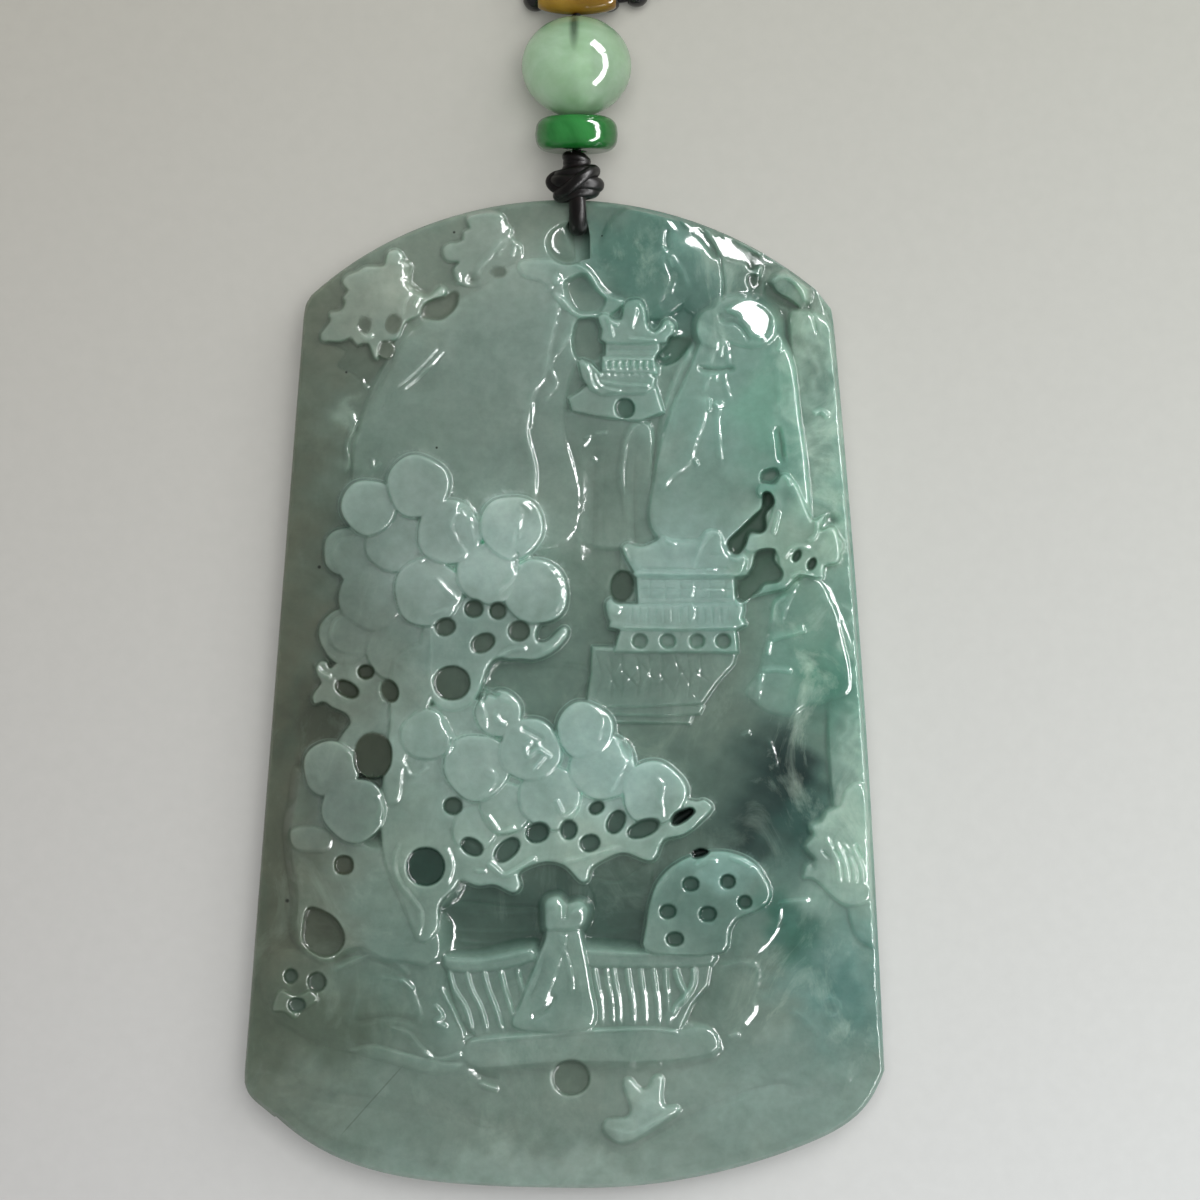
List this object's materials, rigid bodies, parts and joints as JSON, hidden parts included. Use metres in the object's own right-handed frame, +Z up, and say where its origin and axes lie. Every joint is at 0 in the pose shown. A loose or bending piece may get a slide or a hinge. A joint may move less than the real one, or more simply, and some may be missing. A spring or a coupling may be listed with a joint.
{
  "type": "carved jade landscape plaque pendant",
  "caption": "Deep-carved jadeite landscape plaque with pavilions, trees, a bridge and a walker, on a knotted drop of jade and amber beads and a black-beaded neck cord.",
  "frame": {"origin": "middle of the plaque's flat back, at the bottom centre of the plaque's box", "axes": "+Z up out of the carved face as the plaque lies on its back, +Y towards the hanging hole and the beads, +X to the right of the carving"},
  "size_m": [0.0432, 0.1007, 0.0086],
  "materials": {
    "jadeite": "polished",
    "green_jade_bead": "polished",
    "pale_jade_bead": "polished",
    "amber_bead": "polished",
    "black_bead": "polished",
    "brown_cord": "waxed"
  },
  "bodies": {
    "root": {"jade_plaque": "jadeite", "drop_cord": "brown_cord", "disc_bead": "green_jade_bead", "round_bead": "pale_jade_bead", "barrel_bead": "amber_bead", "black_bead_left_1": "black_bead", "black_bead_left_2": "black_bead", "black_bead_left_3": "black_bead", "black_bead_right_1": "black_bead", "black_bead_right_2": "black_bead", "black_bead_right_3": "black_bead", "neck_cord_right": "brown_cord", "neck_cord_left": "brown_cord", "neck_cord_coil": "brown_cord"}
  },
  "joints": []
}
